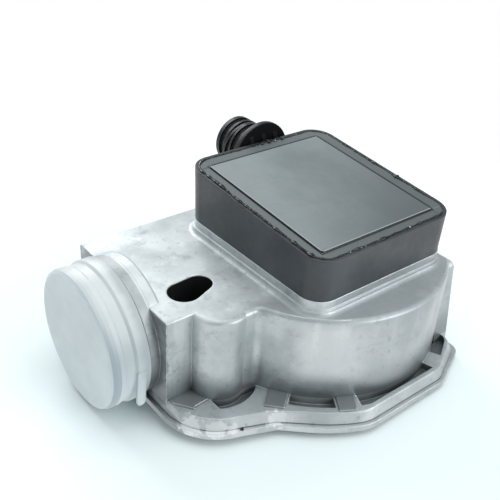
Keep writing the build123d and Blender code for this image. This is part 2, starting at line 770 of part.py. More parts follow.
def make_adjuster():
    """Mixture screw in the well: slotted head, shank and tapered tip."""
    head = prism(Circle(adjuster_head_radius), well_floor + 0.1, well_floor + 5.5)
    head -= block((-6, -0.6, well_floor + 4.0), (6, 0.6, well_floor + 6))
    tip = Pos(0, 0, well_floor - 6.0) * Cone(1.0, adjuster_radius, 6.2, align=(Align.CENTER, Align.CENTER, Align.MIN))
    head -= tube(adjuster_head_radius + 1, adjuster_head_radius - 0.9, well_floor + 1.4, well_floor + 3.0)
    return Pos(adjuster_x(), well_y) * (head + tip)


def make_adjuster_seal():
    ring = Pos(0, 0, well_floor + 2.2) * Torus(adjuster_head_radius - 0.15, 0.7)
    return Pos(adjuster_x(), well_y) * ring


def make_spring_wheel():
    """Toothed preload wheel with a raised rim that carries the spring's outer end."""
    pitch = 2 * pi * wheel_radius / wheel_teeth
    disc = prism(Circle(wheel_radius), wheel_base, wheel_base + 1.4)
    tooth = make_face(Polyline((wheel_radius - 0.5, -pitch * 0.3), (wheel_radius + wheel_tooth, -pitch * 0.14),
                               (wheel_radius + wheel_tooth, pitch * 0.14), (wheel_radius - 0.5, pitch * 0.3),
                               close=True))
    teeth = [Rot(0, 0, 360 / wheel_teeth * i) * prism(tooth, wheel_base, wheel_base + 2.6)
             for i in range(wheel_teeth)]
    wheel = disc + tube(wheel_radius, wheel_radius - 1.6, wheel_base, wheel_base + wheel_height)
    wheel += teeth
    wheel -= prism(Circle(wiper_hub_radius + 1.2), wheel_base - 1, wheel_base + 3)
    for i in range(6):
        wheel -= Rot(0, 0, 60 * i) * prism(Pos(17.0, 0) * Circle(4.2), wheel_base - 1, wheel_base + 2)
    post = Pos(spring_outer + spring_strip + post_radius + wire_gap, 0) * Circle(post_radius)
    return wheel + prism(post, wheel_base + 1.2, wheel_base + wheel_height)


def make_return_spring():
    """Flat spiral spring between the wiper hub and the preload wheel."""
    steps = spring_turns * 8
    points = []
    for i in range(steps + 1):
        share = i / steps
        points.append(polar(spring_inner + (spring_outer - spring_inner) * share, 360 * spring_turns * share))
    outward = [polar(spring_inner + spring_strip + (spring_outer - spring_inner) * i / steps,
                     360 * spring_turns * i / steps) for i in range(steps + 1)]
    inner_line = Spline(*points)
    outer_line = Spline(*outward)
    edges = [inner_line, Line(points[-1], outward[-1]), outer_line, Line(outward[0], points[0])]
    base = wheel_base + 1.8
    return prism(make_face(edges), base, base + spring_height)


def make_wheel_clip():
    """Spring wire that locks the preload wheel, bent round a post of the box floor."""
    touch = -(wheel_radius + wheel_tooth + wire_radius + wire_gap)
    side = wire_post[0] + wire_post_radius + wire_radius + wire_gap
    path = FilletPolyline((side, wire_post[1] - 12), (side, wire_post[1] + 3), (touch, -3), (touch, 3),
                          (touch - 8, 9), radius=1.5)
    path = Pos(0, 0, box_base + box_floor + wire_radius + wire_gap) * path
    return sweep(Plane(origin=path @ 0, z_dir=path % 0) * Circle(wire_radius), path=path)


def make_wiper_hub():
    hub = tube(wiper_hub_radius, journal_radius + 0.01, wheel_base + 0.3, arm_bottom + arm_thickness + 0.6)
    return hub + tube(wiper_hub_radius + 1.6, journal_radius + 0.01, arm_bottom - 1.2, arm_bottom)


def make_wiper_arm():
    """Stamped arm with a round eye, a tapered beam and a crossbar for the contacts."""
    beam = make_face(Polyline((0, -6.5), (arm_length, -2.4), (arm_length, 2.4), (0, 6.5), close=True))
    tail = Pos(-11, 0) * RectangleRounded(16, 8, 2)
    plan = Circle(wiper_hub_radius + 2.4) + beam + tail + Pos(arm_length, 0) * RectangleRounded(5, 12, 1.2)
    plan -= Circle(wiper_hub_radius + seat_gap)
    plan -= Pos(17, 0) * SlotOverall(9, 3.0)
    return Rot(0, 0, arm_start_deg) * prism(plan, arm_bottom, arm_bottom + arm_thickness)


def make_counterweight():
    plan = sector(21.0, 14.0, 160.0, 200.0)
    low = arm_bottom + arm_thickness
    return Rot(0, 0, arm_start_deg) * prism(plan, low, low + 2.4)


def make_wiper_contacts():
    """Two bent contact strips under the crossbar, riding on the tracks of the board."""
    strips = []
    top = arm_bottom
    foot = board_bottom + board_thickness + 0.25
    for side in (-3.2, 3.2):
        profile = Polyline((arm_length - 2.0, top), (arm_length - 2.0, top - 0.4), (arm_length - 0.2, top - 0.4),
                           (arm_length - 4.6, foot + 0.5), (arm_length - 4.6, foot), (arm_length - 3.6, foot),
                           (arm_length + 2.2, top - 0.3), (arm_length + 2.2, top), close=True)
        face = Plane.XZ.offset(-side + 1.0) * make_face(profile)
        strips.append(Rot(0, 0, arm_start_deg) * extrude(face, 2.0, dir=(0, -1, 0)))
    return Compound(children=strips)


def pillar_places():
    return [polar(30.6, a) for a in (board_start_deg + 6, 62.0, board_end_deg - 6)]


def make_board():
    """Ceramic board with the resistor track, cut as a ring sector."""
    plate = prism(sector(board_outer, board_inner, board_start_deg, board_end_deg),
                  board_bottom, board_bottom + board_thickness)
    for x, y in pillar_places():
        plate -= prism(Pos(x, y) * Circle(1.2), board_bottom - 1, board_bottom + 3)
    return plate


def make_board_screws():
    screws = []
    for x, y in pillar_places():
        head = prism(Circle(1.9), 0, 0.9)
        screws.append(Pos(x, y, board_bottom + board_thickness + 0.05) * head)
    return Compound(children=screws)


def make_box_screws():
    screws = []
    for x, y in box_screw_places():
        shank = prism(Circle(box_screw_radius - 0.05), -8.0, 0.2)
        head = prism(Circle(3.6), 0, 2.4) - prism(RegularPolygon(1.7, 6), 1.0, 3)
        screws.append(Pos(x, y, box_base + box_floor + 0.05) * (head + shank))
    return Compound(children=screws)


lower_bush, upper_bush = make_bushes()
parts = {
    "main_casting": make_casting(),
    "base_cover": make_cover(),
    "cover_seal": make_cover_seal(),
    "cover_screws": make_cover_screws(),
    "transit_cap": make_transit_cap(),
    "electronics_box": make_box(),
    "box_screws": make_box_screws(),
    "lid_plate": make_lid(),
    "sealant_bead": make_bead(),
    "connector_socket": make_connector(),
    "contact_insert": make_insert(),
    "contact_pins": make_pins(),
    "temperature_probe": make_probe(),
    "thermistor_bead": make_thermistor(),
    "lower_bush": lower_bush,
    "upper_bush": upper_bush,
    "vane_shaft": make_shaft(),
    "shaft_clip": make_clip(),
    "vane_casting": make_vane(),
    "stop_buffer": make_stop_buffer(),
    "mixture_screw": make_adjuster(),
    "mixture_screw_seal": make_adjuster_seal(),
    "spring_wheel": make_spring_wheel(),
    "return_spring": make_return_spring(),
    "wheel_clip": make_wheel_clip(),
    "wiper_hub": make_wiper_hub(),
    "wiper_arm": make_wiper_arm(),
    "counterweight": make_counterweight(),
    "wiper_contacts": make_wiper_contacts(),
    "track_board": make_board(),
    "board_screws": make_board_screws(),
}
for name, shape in parts.items():
    export_step(shape, f"parts/{name}.step")
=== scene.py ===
import bpy
import bmesh
import math
import random
from mathutils import Matrix, Vector


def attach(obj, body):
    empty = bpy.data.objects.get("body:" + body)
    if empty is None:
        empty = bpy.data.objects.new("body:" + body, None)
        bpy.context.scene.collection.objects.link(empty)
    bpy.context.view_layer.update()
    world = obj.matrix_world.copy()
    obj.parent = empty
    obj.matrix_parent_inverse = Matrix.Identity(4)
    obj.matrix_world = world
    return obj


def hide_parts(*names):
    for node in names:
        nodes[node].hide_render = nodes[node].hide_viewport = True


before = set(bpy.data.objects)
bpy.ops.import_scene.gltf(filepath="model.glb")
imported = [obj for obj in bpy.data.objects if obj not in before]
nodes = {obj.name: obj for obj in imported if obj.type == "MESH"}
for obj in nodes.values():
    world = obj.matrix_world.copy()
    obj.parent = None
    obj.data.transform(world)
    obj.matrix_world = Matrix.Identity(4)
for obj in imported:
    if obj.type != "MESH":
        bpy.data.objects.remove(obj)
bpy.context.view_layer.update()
scene = bpy.context.scene
scene.view_settings.view_transform = "Standard"
mm = 0.001
print("frame loaded:", len(nodes), "pieces")


# ---- small helpers for node materials

def startMaterial(name):
    mat = bpy.data.materials.new(name)
    mat.use_nodes = True
    tree = mat.node_tree
    shader = tree.nodes["Principled BSDF"]
    coords = tree.nodes.new("ShaderNodeTexCoord")
    return mat, tree, shader, coords.outputs["Object"]


def addNode(tree, kind, inputs=None, **settings):
    node = tree.nodes.new("ShaderNode" + kind)
    for key, value in settings.items():
        setattr(node, key, value)
    for key, value in (inputs or {}).items():
        if isinstance(value, bpy.types.NodeSocket):
            tree.links.new(value, node.inputs[key])
        else:
            node.inputs[key].default_value = value
    return node


def mapped(tree, coords, scale, turn=(0, 0, 0), shift=(0, 0, 0)):
    inputs = {"Vector": coords, "Scale": scale, "Rotation": turn, "Location": shift}
    return addNode(tree, "Mapping", inputs).outputs["Vector"]


def noise(tree, vector, scale=1.0, detail=3.0, rough=0.5, distort=0.0):
    node = addNode(tree, "TexNoise", {"Vector": vector, "Scale": scale, "Detail": detail,
                                      "Roughness": rough, "Distortion": distort})
    return node.outputs["Fac"]


def ramp(tree, fac, low, high, lowValue=0.0, highValue=1.0):
    node = addNode(tree, "MapRange", {"Value": fac, "From Min": low, "From Max": high,
                                      "To Min": lowValue, "To Max": highValue})
    node.interpolation_type = "SMOOTHSTEP"
    return node.outputs["Result"]


def blendColors(tree, fac, first, second):
    # the Mix node takes its colours by the inputs 6 and 7 and gives the result by output 2
    node = addNode(tree, "Mix", data_type="RGBA", blend_type="MIX")
    for index, value in ((0, fac), (6, first), (7, second)):
        if isinstance(value, bpy.types.NodeSocket):
            tree.links.new(value, node.inputs[index])
        else:
            node.inputs[index].default_value = value if index == 0 else (*value, 1.0)
    return node.outputs[2]


def calc(tree, operation, first, second=0.0, clamp=False):
    node = addNode(tree, "Math", operation=operation, use_clamp=clamp)
    for index, value in enumerate((first, second)):
        if isinstance(value, bpy.types.NodeSocket):
            tree.links.new(value, node.inputs[index])
        else:
            node.inputs[index].default_value = value
    return node.outputs["Value"]


def times(tree, first, *others):
    for other in others:
        first = calc(tree, "MULTIPLY", first, other)
    return first


def bumpFrom(tree, height, strength, distance, after=None):
    inputs = {"Height": height, "Strength": strength, "Distance": distance}
    if after is not None:
        inputs["Normal"] = after
    return addNode(tree, "Bump", inputs).outputs["Normal"]


meshLook = {"bevelSamples": 6, "edgeRange": (0.985, 0.86), "wallRange": (0.35, 0.7)}


def softEdges(tree, radius):
    return addNode(tree, "Bevel", {"Radius": radius}, samples=meshLook["bevelSamples"]).outputs["Normal"]


def edgeMask(tree, radius):
    # 1 on sharp edges, 0 on flats: the rounded normal set against the true one
    rounded = softEdges(tree, radius)
    plain = addNode(tree, "NewGeometry").outputs["Normal"]
    node = addNode(tree, "VectorMath", {0: rounded, 1: plain}, operation="DOT_PRODUCT")
    return ramp(tree, node.outputs["Value"], *meshLook["edgeRange"])


def between(tree, value, low, high, soft):
    # 1 where the value lies between low and high, with a soft border
    return times(tree, ramp(tree, value, low - soft, low), ramp(tree, value, high, high + soft, 1, 0))


def facing(tree):
    # the three parts of the direction in which a face looks
    return placeOf(tree, addNode(tree, "NewGeometry").outputs["True Normal"])


def placeOf(tree, coords):
    node = addNode(tree, "SeparateXYZ", {0: coords})
    return node.outputs["X"], node.outputs["Y"], node.outputs["Z"]


def uprightness(tree):
    # 1 on upright walls, 0 on level faces
    return ramp(tree, calc(tree, "ABSOLUTE", facing(tree)[2]), *meshLook["wallRange"], 1, 0)


def linkTo(tree, shader, **sockets):
    names = {"color": "Base Color", "rough": "Roughness", "normal": "Normal", "metal": "Metallic"}
    for key, value in sockets.items():
        tree.links.new(value, shader.inputs[names[key]])


def paint(mat, *names):
    for name in names:
        mesh = nodes[name].data
        mesh.materials.clear()
        mesh.materials.append(mat)


# ---- cast aluminium: fine grain, cloudy tone, pale edges partly scuffed and partly painted highlight, painted shade in the corners

castLook = {
    "base": (0.60, 0.65, 0.665), "dull": (0.43, 0.475, 0.49), "bright": (0.84, 0.88, 0.89),
    "stainAndShade": (0.28, 0.315, 0.33), "shade": (0.15, 0.17, 0.178), "grimeAndShade": (0.09, 0.10, 0.105),
    "ledgeShade": (0.30, 0.335, 0.35), "metallic": (0.50, 0.72), "rough": (0.44, 0.58), "wallShine": 0.14,
    # noise: scale, detail, roughness, distortion
    "cloud": (30, 5, 0.6), "blotch": (85, 6, 0.68, 0.3), "pits": (260, 4, 0.62), "grain": (900, 2, 0.6),
    "ragged": (330, 5, 0.7), "wearAndSheen": (120, 3), "streak": (1, 4, 0.6), "streakStretch": (90, 90, 16),
    "rubbed": (1, 4, 0.65), "rubbedStretch": (40, 40, 300),
    # where each noise starts and ends to show, and how much
    "cloudRange": (0.35, 0.68), "streakRange": (0.52, 0.74, 0, 0.40), "blotchRange": (0.52, 0.70, 0, 0.58),
    "pitsRange": (0.60, 0.70, 0, 0.50), "rubbedRange": (0.60, 0.72, 0, 0.30), "wearAndSheenRange": (0.2, 0.6),
    "roughRange": (0.3, 0.7),
    # bump: strength and depth
    "grainBump": (0.25, 0.12 * mm), "pitsBump": (0.35, 0.3 * mm), "blotchBump": (0.12, 1.2 * mm),
    "edgeRadius": 0.8 * mm, "cornerShadeReach": 7 * mm, "cornerShadeRange": (0.25, 0.70, 0.75, 0), "cornerShadeSamples": 8,
    "wobble": 10 * mm,
}
footLook = {"flangeTop": 9.7 * mm, "under": 9.4 * mm, "shade": (12.5 * mm, 29 * mm, 0.62, 0)}
levelLook = {"rim": (11.1 * mm, 10.8 * mm), "rimAmount": (9.8 * mm, 10.2 * mm, 0.5, 0.9),
             "roofFrontY": (-20 * mm, -29 * mm), "roofZ": (50 * mm, 53 * mm), "roofAmount": 0.64,
             "land": (10.2 * mm, 10.6 * mm, 0.2 * mm), "landAmount": 0.65,
             "pocket": (5.2 * mm, 5.7 * mm, 0.4 * mm), "pocketAmount": 0.85}
drumLook = {"front": (-40 * mm, -48 * mm), "left": -38 * mm, "right": -16 * mm, "pale": 0.45, "dark": 0.42,
            "paleZ": (26 * mm, 47 * mm, 9 * mm)}
seamLook = {"z": (4.15 * mm, 4.65 * mm, 0.1 * mm), "amount": 0.75}
endLook = {"stainAndShade": (0.20, 0.225, 0.235), "face": (-99.5 * mm, -100.7 * mm, 0, 0.72),
           "ring": (-101.1 * mm, -101.5 * mm, 0, 0.5)}
markLook = {"marks": (((-90.4 * mm, -38.7 * mm, 6 * mm), 5 * mm), ((-65 * mm, -50 * mm, 7 * mm), 5 * mm),
                      ((-99 * mm, -29 * mm, 5 * mm), 6 * mm), ((-84 * mm, -42.5 * mm, 6 * mm), 3 * mm)),
            "color": (0.88, 0.91, 0.92), "amount": 0.6, "pit": ((-79.7 * mm, -43.3 * mm, 4.5 * mm), 1.1 * mm),
            "pitColor": (0.03, 0.035, 0.04), "ragged": 2.4, "soft": 0.75}
wellLook = {"x": (-90.5 * mm, -64 * mm, 0.2 * mm), "y": (-8 * mm, 12 * mm, 0.2 * mm),
            "z": (36 * mm, 53.7 * mm, 0.4 * mm), "color": (0.012, 0.013, 0.014)}


def nearPoint(tree, coords, point, radius, wobble):
    # 1 near a point, with an uneven border
    gap = addNode(tree, "VectorMath", {0: coords, 1: point}, operation="DISTANCE").outputs["Value"]
    shift = times(tree, calc(tree, "SUBTRACT", wobble, 0.5), radius * markLook["ragged"])
    gap = calc(tree, "ADD", gap, shift)
    return ramp(tree, gap, radius, radius * markLook["soft"])


def castSkin(tree, coords, look, cloud, blotch, pits, upright):
    streak = noise(tree, mapped(tree, coords, look["streakStretch"]), *look["streak"])
    rubbed = noise(tree, mapped(tree, coords, look["rubbedStretch"]), *look["rubbed"])
    color = blendColors(tree, ramp(tree, cloud, *look["cloudRange"]), look["base"], look["dull"])
    color = blendColors(tree, ramp(tree, streak, *look["streakRange"]), color, look["bright"])
    color = blendColors(tree, ramp(tree, blotch, *look["blotchRange"]), color, look["stainAndShade"])
    color = blendColors(tree, ramp(tree, pits, *look["pitsRange"]), color, look["stainAndShade"])
    lines = times(tree, upright, ramp(tree, rubbed, *look["rubbedRange"]))
    return blendColors(tree, lines, color, look["stainAndShade"])


def castShades(tree, color, place, look, upright, wobble):
    x, y, z = place
    level = ramp(tree, upright, 1, 0)
    # painted shade: the walls are painted darker towards their foot, for the dark flange they would mirror
    # there
    low = ramp(tree, calc(tree, "ADD", z, wobble), *footLook["shade"])
    low = times(tree, low, upright, ramp(tree, z, footLook["under"], footLook["flangeTop"]))
    color = blendColors(tree, low, color, look["shade"])
    # painted shade: the rim top and the front of the roof are painted darker
    rim = times(tree, level, ramp(tree, z, *levelLook["rim"]), ramp(tree, z, *levelLook["rimAmount"]))
    roof = times(tree, level, ramp(tree, y, *levelLook["roofFrontY"]), ramp(tree, z, *levelLook["roofZ"]),
                 levelLook["roofAmount"])
    color = blendColors(tree, calc(tree, "MAXIMUM", rim, roof), color, look["ledgeShade"])
    # painted shade: the land tops and the pocket floors are painted darker
    land = times(tree, level, between(tree, z, *levelLook["land"]), levelLook["landAmount"])
    color = blendColors(tree, land, color, look["shade"])
    pocket = times(tree, level, between(tree, z, *levelLook["pocket"]), levelLook["pocketAmount"])
    color = blendColors(tree, pocket, color, look["shade"])
    # painted reflection: the damping drum's wall is painted paler at its left and darker at its right, for
    # the brighter room it would mirror at its left
    drum = times(tree, upright, ramp(tree, y, *drumLook["front"]))
    pale = ramp(tree, x, drumLook["left"], drumLook["right"], drumLook["pale"], 0)
    pale = times(tree, drum, pale, between(tree, z, *drumLook["paleZ"]))
    color = blendColors(tree, pale, color, look["bright"])
    dark = ramp(tree, x, drumLook["left"], drumLook["right"], 0, drumLook["dark"])
    return blendColors(tree, times(tree, drum, dark), color, look["stainAndShade"])


def castMaterial(name, look):
    mat, tree, shader, coords = startMaterial(name)
    place = placeOf(tree, coords)
    x, y, z = place
    upright = uprightness(tree)
    cloud, blotch, pits, grain, ragged, wearAndSheen = (
        noise(tree, coords, *look[key]) for key in ("cloud", "blotch", "pits", "grain", "ragged", "wearAndSheen"))
    wobble = times(tree, calc(tree, "SUBTRACT", blotch, 0.5), look["wobble"])
    color = castSkin(tree, coords, look, cloud, blotch, pits, upright)
    color = castShades(tree, color, place, look, upright, wobble)
    # pale edges: partly scuffed wear, partly painted highlight
    edges = times(tree, edgeMask(tree, look["edgeRadius"]), ramp(tree, wearAndSheen, *look["wearAndSheenRange"]))
    color = blendColors(tree, edges, color, look["bright"])
    seam = times(tree, upright, between(tree, z, *seamLook["z"]), seamLook["amount"])
    color = blendColors(tree, seam, color, look["grimeAndShade"])
    # the end face round the spigot and the spigot beyond it are darker
    end = times(tree, ramp(tree, calc(tree, "ADD", x, wobble), *endLook["face"]), upright)
    end = calc(tree, "MAXIMUM", end, ramp(tree, x, *endLook["ring"]))
    color = blendColors(tree, end, color, endLook["stainAndShade"])
    for point, radius in markLook["marks"]:
        mark = times(tree, nearPoint(tree, coords, point, radius, ragged), markLook["amount"])
        color = blendColors(tree, mark, color, markLook["color"])
    color = blendColors(tree, nearPoint(tree, coords, *markLook["pit"], ragged), color, markLook["pitColor"])
    # painted shade: corners and hollows found by ambient occlusion are painted dark
    hollow = addNode(tree, "AmbientOcclusion", {"Distance": look["cornerShadeReach"]}, samples=look["cornerShadeSamples"])
    color = blendColors(tree, ramp(tree, hollow.outputs["AO"], *look["cornerShadeRange"]), color, look["grimeAndShade"])
    # painted shade: the inside of the well is painted near black and not metallic
    inWell = times(tree, between(tree, x, *wellLook["x"]), between(tree, y, *wellLook["y"]),
                   between(tree, z, *wellLook["z"]))
    color = blendColors(tree, inWell, color, wellLook["color"])
    rough = calc(tree, "SUBTRACT", ramp(tree, cloud, *look["roughRange"], *look["rough"]),
                 times(tree, upright, look["wallShine"]))
    normal = softEdges(tree, look["edgeRadius"])
    for height, bump in ((grain, "grainBump"), (pits, "pitsBump"), (blotch, "blotchBump")):
        normal = bumpFrom(tree, height, *look[bump], normal)
    metal = calc(tree, "SUBTRACT", ramp(tree, upright, 0, 1, *look["metallic"]), inWell, True)
    linkTo(tree, shader, color=color, rough=rough, normal=normal, metal=metal)
    return mat


castAluminium = castMaterial("castAluminium", castLook)
paint(castAluminium, "main_casting", "base_cover", "vane_casting")
print("cast aluminium ready")


# ---- plain finishes: box plastic, rubber, steels, bronze, brass, tin and natural plastic

plainLook = {"broad": (45, 4, 0.55), "broadRange": (0.35, 0.7), "fineDetail": (3, 0.6),
             "fineRange": (0.3, 0.7), "bumpDepth": 0.2 * mm, "edge": 0.3 * mm}


def plainFinish(name, look):
    mat, tree, shader, coords = startMaterial(name)
    fine = noise(tree, coords, look["scale"], *plainLook["fineDetail"])
    broad = noise(tree, coords, *plainLook["broad"])
    color = blendColors(tree, ramp(tree, broad, *plainLook["broadRange"]), look["color"], look["second"])
    rough = ramp(tree, fine, *plainLook["fineRange"], *look["rough"])
    normal = softEdges(tree, look.get("edge", plainLook["edge"]))
    normal = bumpFrom(tree, fine, look["bump"], plainLook["bumpDepth"], normal)
    shader.inputs["Metallic"].default_value = look.get("metallic", 0.0)
    linkTo(tree, shader, color=color, rough=rough, normal=normal)
    return mat


boxLook = {"color": (0.0315, 0.038, 0.0435), "second": (0.050, 0.059, 0.066), "rough": (0.30, 0.44),
           "scale": 380.0, "bump": 0.10, "edge": 0.0009}
socketLook = {"color": (0.006, 0.0075, 0.009), "second": (0.014, 0.017, 0.020),
              "matt": (0.004, 0.005, 0.006), "edgeSheen": (0.075, 0.09, 0.097), "rough": (0.30, 0.46),
              "fine": (500, 3, 0.6), "fineRange": (0.3, 0.7), "away": (-0.5, -0.8), "mattRough": 0.8,
              "shine": (0.5, 0.1), "sheenEdge": 0.5 * mm, "sheenRange": (0.35, 0.6, 0.4, 0.9),
              "bump": (0.1, 0.2 * mm), "edge": 0.4 * mm}
rubberLook = {"color": (0.012, 0.012, 0.013), "second": (0.024, 0.024, 0.025), "rough": (0.55, 0.75),
              "scale": 700.0, "bump": 0.2}
steelLook = {"color": (0.56, 0.57, 0.58), "second": (0.42, 0.43, 0.44), "rough": (0.22, 0.4), "metallic": 1.0,
             "scale": 900.0, "bump": 0.08}
darkSteelLook = {"color": (0.22, 0.23, 0.25), "second": (0.13, 0.135, 0.15), "rough": (0.28, 0.45),
                 "metallic": 1.0, "scale": 900.0, "bump": 0.08}
bronzeLook = {"color": (0.48, 0.33, 0.17), "second": (0.36, 0.24, 0.12), "rough": (0.34, 0.55),
              "metallic": 1.0, "scale": 1200.0, "bump": 0.25}
brassLook = {"color": (0.70, 0.54, 0.26), "second": (0.56, 0.42, 0.2), "rough": (0.2, 0.38), "metallic": 1.0,
             "scale": 900.0, "bump": 0.08}
tinLook = {"color": (0.74, 0.74, 0.71), "second": (0.6, 0.6, 0.58), "rough": (0.16, 0.3), "metallic": 1.0,
           "scale": 900.0, "bump": 0.05}
naturalLook = {"color": (0.66, 0.63, 0.53), "second": (0.56, 0.53, 0.44), "rough": (0.38, 0.5),
               "scale": 400.0, "bump": 0.1}
probeLook = {"color": (0.10, 0.085, 0.07), "second": (0.14, 0.12, 0.10), "rough": (0.4, 0.55), "scale": 500.0,
             "bump": 0.12}

paint(plainFinish("boxPlastic", boxLook), "electronics_box")
paint(plainFinish("blackRubber", rubberLook), "cover_seal", "stop_buffer", "mixture_screw_seal")
paint(plainFinish("zincSteel", steelLook), "cover_screws", "box_screws", "board_screws", "vane_shaft",
      "wheel_clip", "wiper_arm")
paint(plainFinish("springSteel", darkSteelLook), "shaft_clip", "return_spring")
paint(plainFinish("sinteredBronze", bronzeLook), "lower_bush", "upper_bush")
paint(plainFinish("turnedBrass", brassLook), "mixture_screw", "counterweight", "wiper_contacts")
paint(plainFinish("tinnedPins", tinLook), "contact_pins")
paint(plainFinish("naturalPlastic", naturalLook), "spring_wheel")
paint(plainFinish("probePlastic", probeLook), "temperature_probe")
print("plain finishes ready")


def socketMaterial(look):
    # moulded black plastic; its faces towards the box are matt and darker
    mat, tree, shader, coords = startMaterial("socketPlastic")
    fine = noise(tree, coords, *look["fine"])
    matt = ramp(tree, facing(tree)[1], *look["away"])
    color = blendColors(tree, fine, look["color"], look["second"])
    color = blendColors(tree, matt, color, look["matt"])
    # painted highlight: pale lines along the edges
    edgeSheen = times(tree, edgeMask(tree, look["sheenEdge"]), ramp(tree, fine, *look["sheenRange"]))
    color = blendColors(tree, edgeSheen, color, look["edgeSheen"])
    rough = calc(tree, "MAXIMUM", ramp(tree, fine, *look["fineRange"], *look["rough"]),
                 times(tree, matt, look["mattRough"]))
    tree.links.new(ramp(tree, matt, 0, 1, *look["shine"]), shader.inputs["Specular IOR Level"])
    normal = bumpFrom(tree, fine, *look["bump"], softEdges(tree, look["edge"]))
    linkTo(tree, shader, color=color, rough=rough, normal=normal)
    return mat


paint(socketMaterial(socketLook), "connector_socket", "contact_insert", "wiper_hub")


boardLook = {"ceramic": ((0.72, 0.70, 0.64), (0.80, 0.79, 0.74)),
             "carbon": ((0.02, 0.02, 0.022), (0.05, 0.05, 0.05)),
             "inner": (18.5 * mm, 18.8 * mm), "outer": (28.5 * mm, 28.2 * mm), "speckle": (600, 3),
             "rough": (0.3, 0.7, 0.35, 0.6)}
glassLook = {"tint": ((0.42, 0.22, 0.10), (0.30, 0.14, 0.06)), "cloud": (800, 2), "clear": 0.6, "rough": 0.08}


def trackBoardMaterial(look):
    # pale ceramic with a dark printed arc where the contacts ride
    mat, tree, shader, coords = startMaterial("ceramicBoard")
    flat = mapped(tree, coords, (1, 1, 0))
    reach = addNode(tree, "VectorMath", {0: flat}, operation="LENGTH").outputs["Value"]
    track = times(tree, ramp(tree, reach, *look["inner"]), ramp(tree, reach, *look["outer"]))
    speckle = noise(tree, coords, *look["speckle"])
    ceramic, carbon = (blendColors(tree, speckle, *look[key]) for key in ("ceramic", "carbon"))
    linkTo(tree, shader, color=blendColors(tree, track, ceramic, carbon),
           rough=ramp(tree, speckle, *look["rough"]))
    return mat


def glassBeadMaterial(look):
    mat, tree, shader, coords = startMaterial("glassBead")
    shader.inputs["Transmission Weight"].default_value = look["clear"]
    shader.inputs["Roughness"].default_value = look["rough"]
    linkTo(tree, shader, color=blendColors(tree, noise(tree, coords, *look["cloud"]), *look["tint"]))
    return mat


paint(trackBoardMaterial(boardLook), "track_board")
paint(glassBeadMaterial(glassLook), "thermistor_bead")


# ---- milky cap: soft plastic that lets light into its skin

capLook = {"color": (0.66, 0.735, 0.755), "second": (0.58, 0.655, 0.68), "pale": (0.60, 0.65, 0.66),
           "side": (0.37, 0.42, 0.44), "band": (0.31, 0.37, 0.405), "low": (0.60, 0.67, 0.70),
           "showThrough": (0.33, 0.37, 0.385), "rough": (0.3, 0.7, 0.30, 0.46),
           "haze": (38, 4, 0.6), "hazeRange": (0.3, 0.7), "wisps": (1, 5, 0.6, 0.8),
           "wispStretch": (30, 60, 60), "wispRange": (0.5, 0.75, 0, 0.3),
           "skirtX": (-124.6 * mm, -123.8 * mm),
           "paleZ": (36 * mm, 62 * mm), "lowZ": (52 * mm, 12 * mm, 0, 0.85),
           "bandX": (-124.2 * mm, -121 * mm, 0.4 * mm), "bandZ": (34 * mm, 60 * mm, 0.85, 0.15),
           "thinX": (-111.5 * mm, -107.5 * mm, 0, 0.62), "thinWobble": 6 * mm,
           "waves": (160, 3), "waveBump": (0.12, 0.4 * mm), "edge": 0.6 * mm,
           "depth": 0.25, "depthRadius": (4 * mm, 4.4 * mm, 5 * mm)}


def capMaterial(look):
    mat, tree, shader, coords = startMaterial("milkyPlastic")
    x, y, z = placeOf(tree, coords)
    haze = noise(tree, coords, *look["haze"])
    wisps = noise(tree, mapped(tree, coords, look["wispStretch"]), *look["wisps"])
    skirt = ramp(tree, x, *look["skirtX"])
    color = blendColors(tree, ramp(tree, haze, *look["hazeRange"]), look["color"], look["second"])
    color = blendColors(tree, ramp(tree, wisps, *look["wispRange"]), color, look["pale"])
    # painted light and shade: the skirt is painted darker than the face, paler towards its top and lighter
    # again towards its bottom
    color = blendColors(tree, skirt, color, look["side"])
    color = blendColors(tree, times(tree, skirt, ramp(tree, z, *look["paleZ"])), color, look["pale"])
    color = blendColors(tree, times(tree, skirt, ramp(tree, z, *look["lowZ"])), color, look["low"])
    # painted shade: a darker band round the skirt next to the face, strongest low down
    band = times(tree, between(tree, x, *look["bandX"]), ramp(tree, z, *look["bandZ"]))
    color = blendColors(tree, band, color, look["band"])
    # the thin end of the skirt lets the metal under it show
    end = calc(tree, "ADD", x, times(tree, calc(tree, "SUBTRACT", wisps, 0.5), look["thinWobble"]))
    color = blendColors(tree, ramp(tree, end, *look["thinX"]), color, look["showThrough"])
    waves = noise(tree, coords, *look["waves"])
    normal = bumpFrom(tree, waves, *look["waveBump"], softEdges(tree, look["edge"]))
    shader.inputs["Subsurface Weight"].default_value = look["depth"]
    shader.inputs["Subsurface Radius"].default_value = look["depthRadius"]
    shader.inputs["Subsurface Scale"].default_value = 1.0
    linkTo(tree, shader, color=color, rough=ramp(tree, wisps, *look["rough"]), normal=normal)
    return mat


paint(capMaterial(capLook), "transit_cap")


# ---- lid sheet: pressed steel in smooth lacquer whose grey is partly painted reflection, laid almost to the outer edge of the box

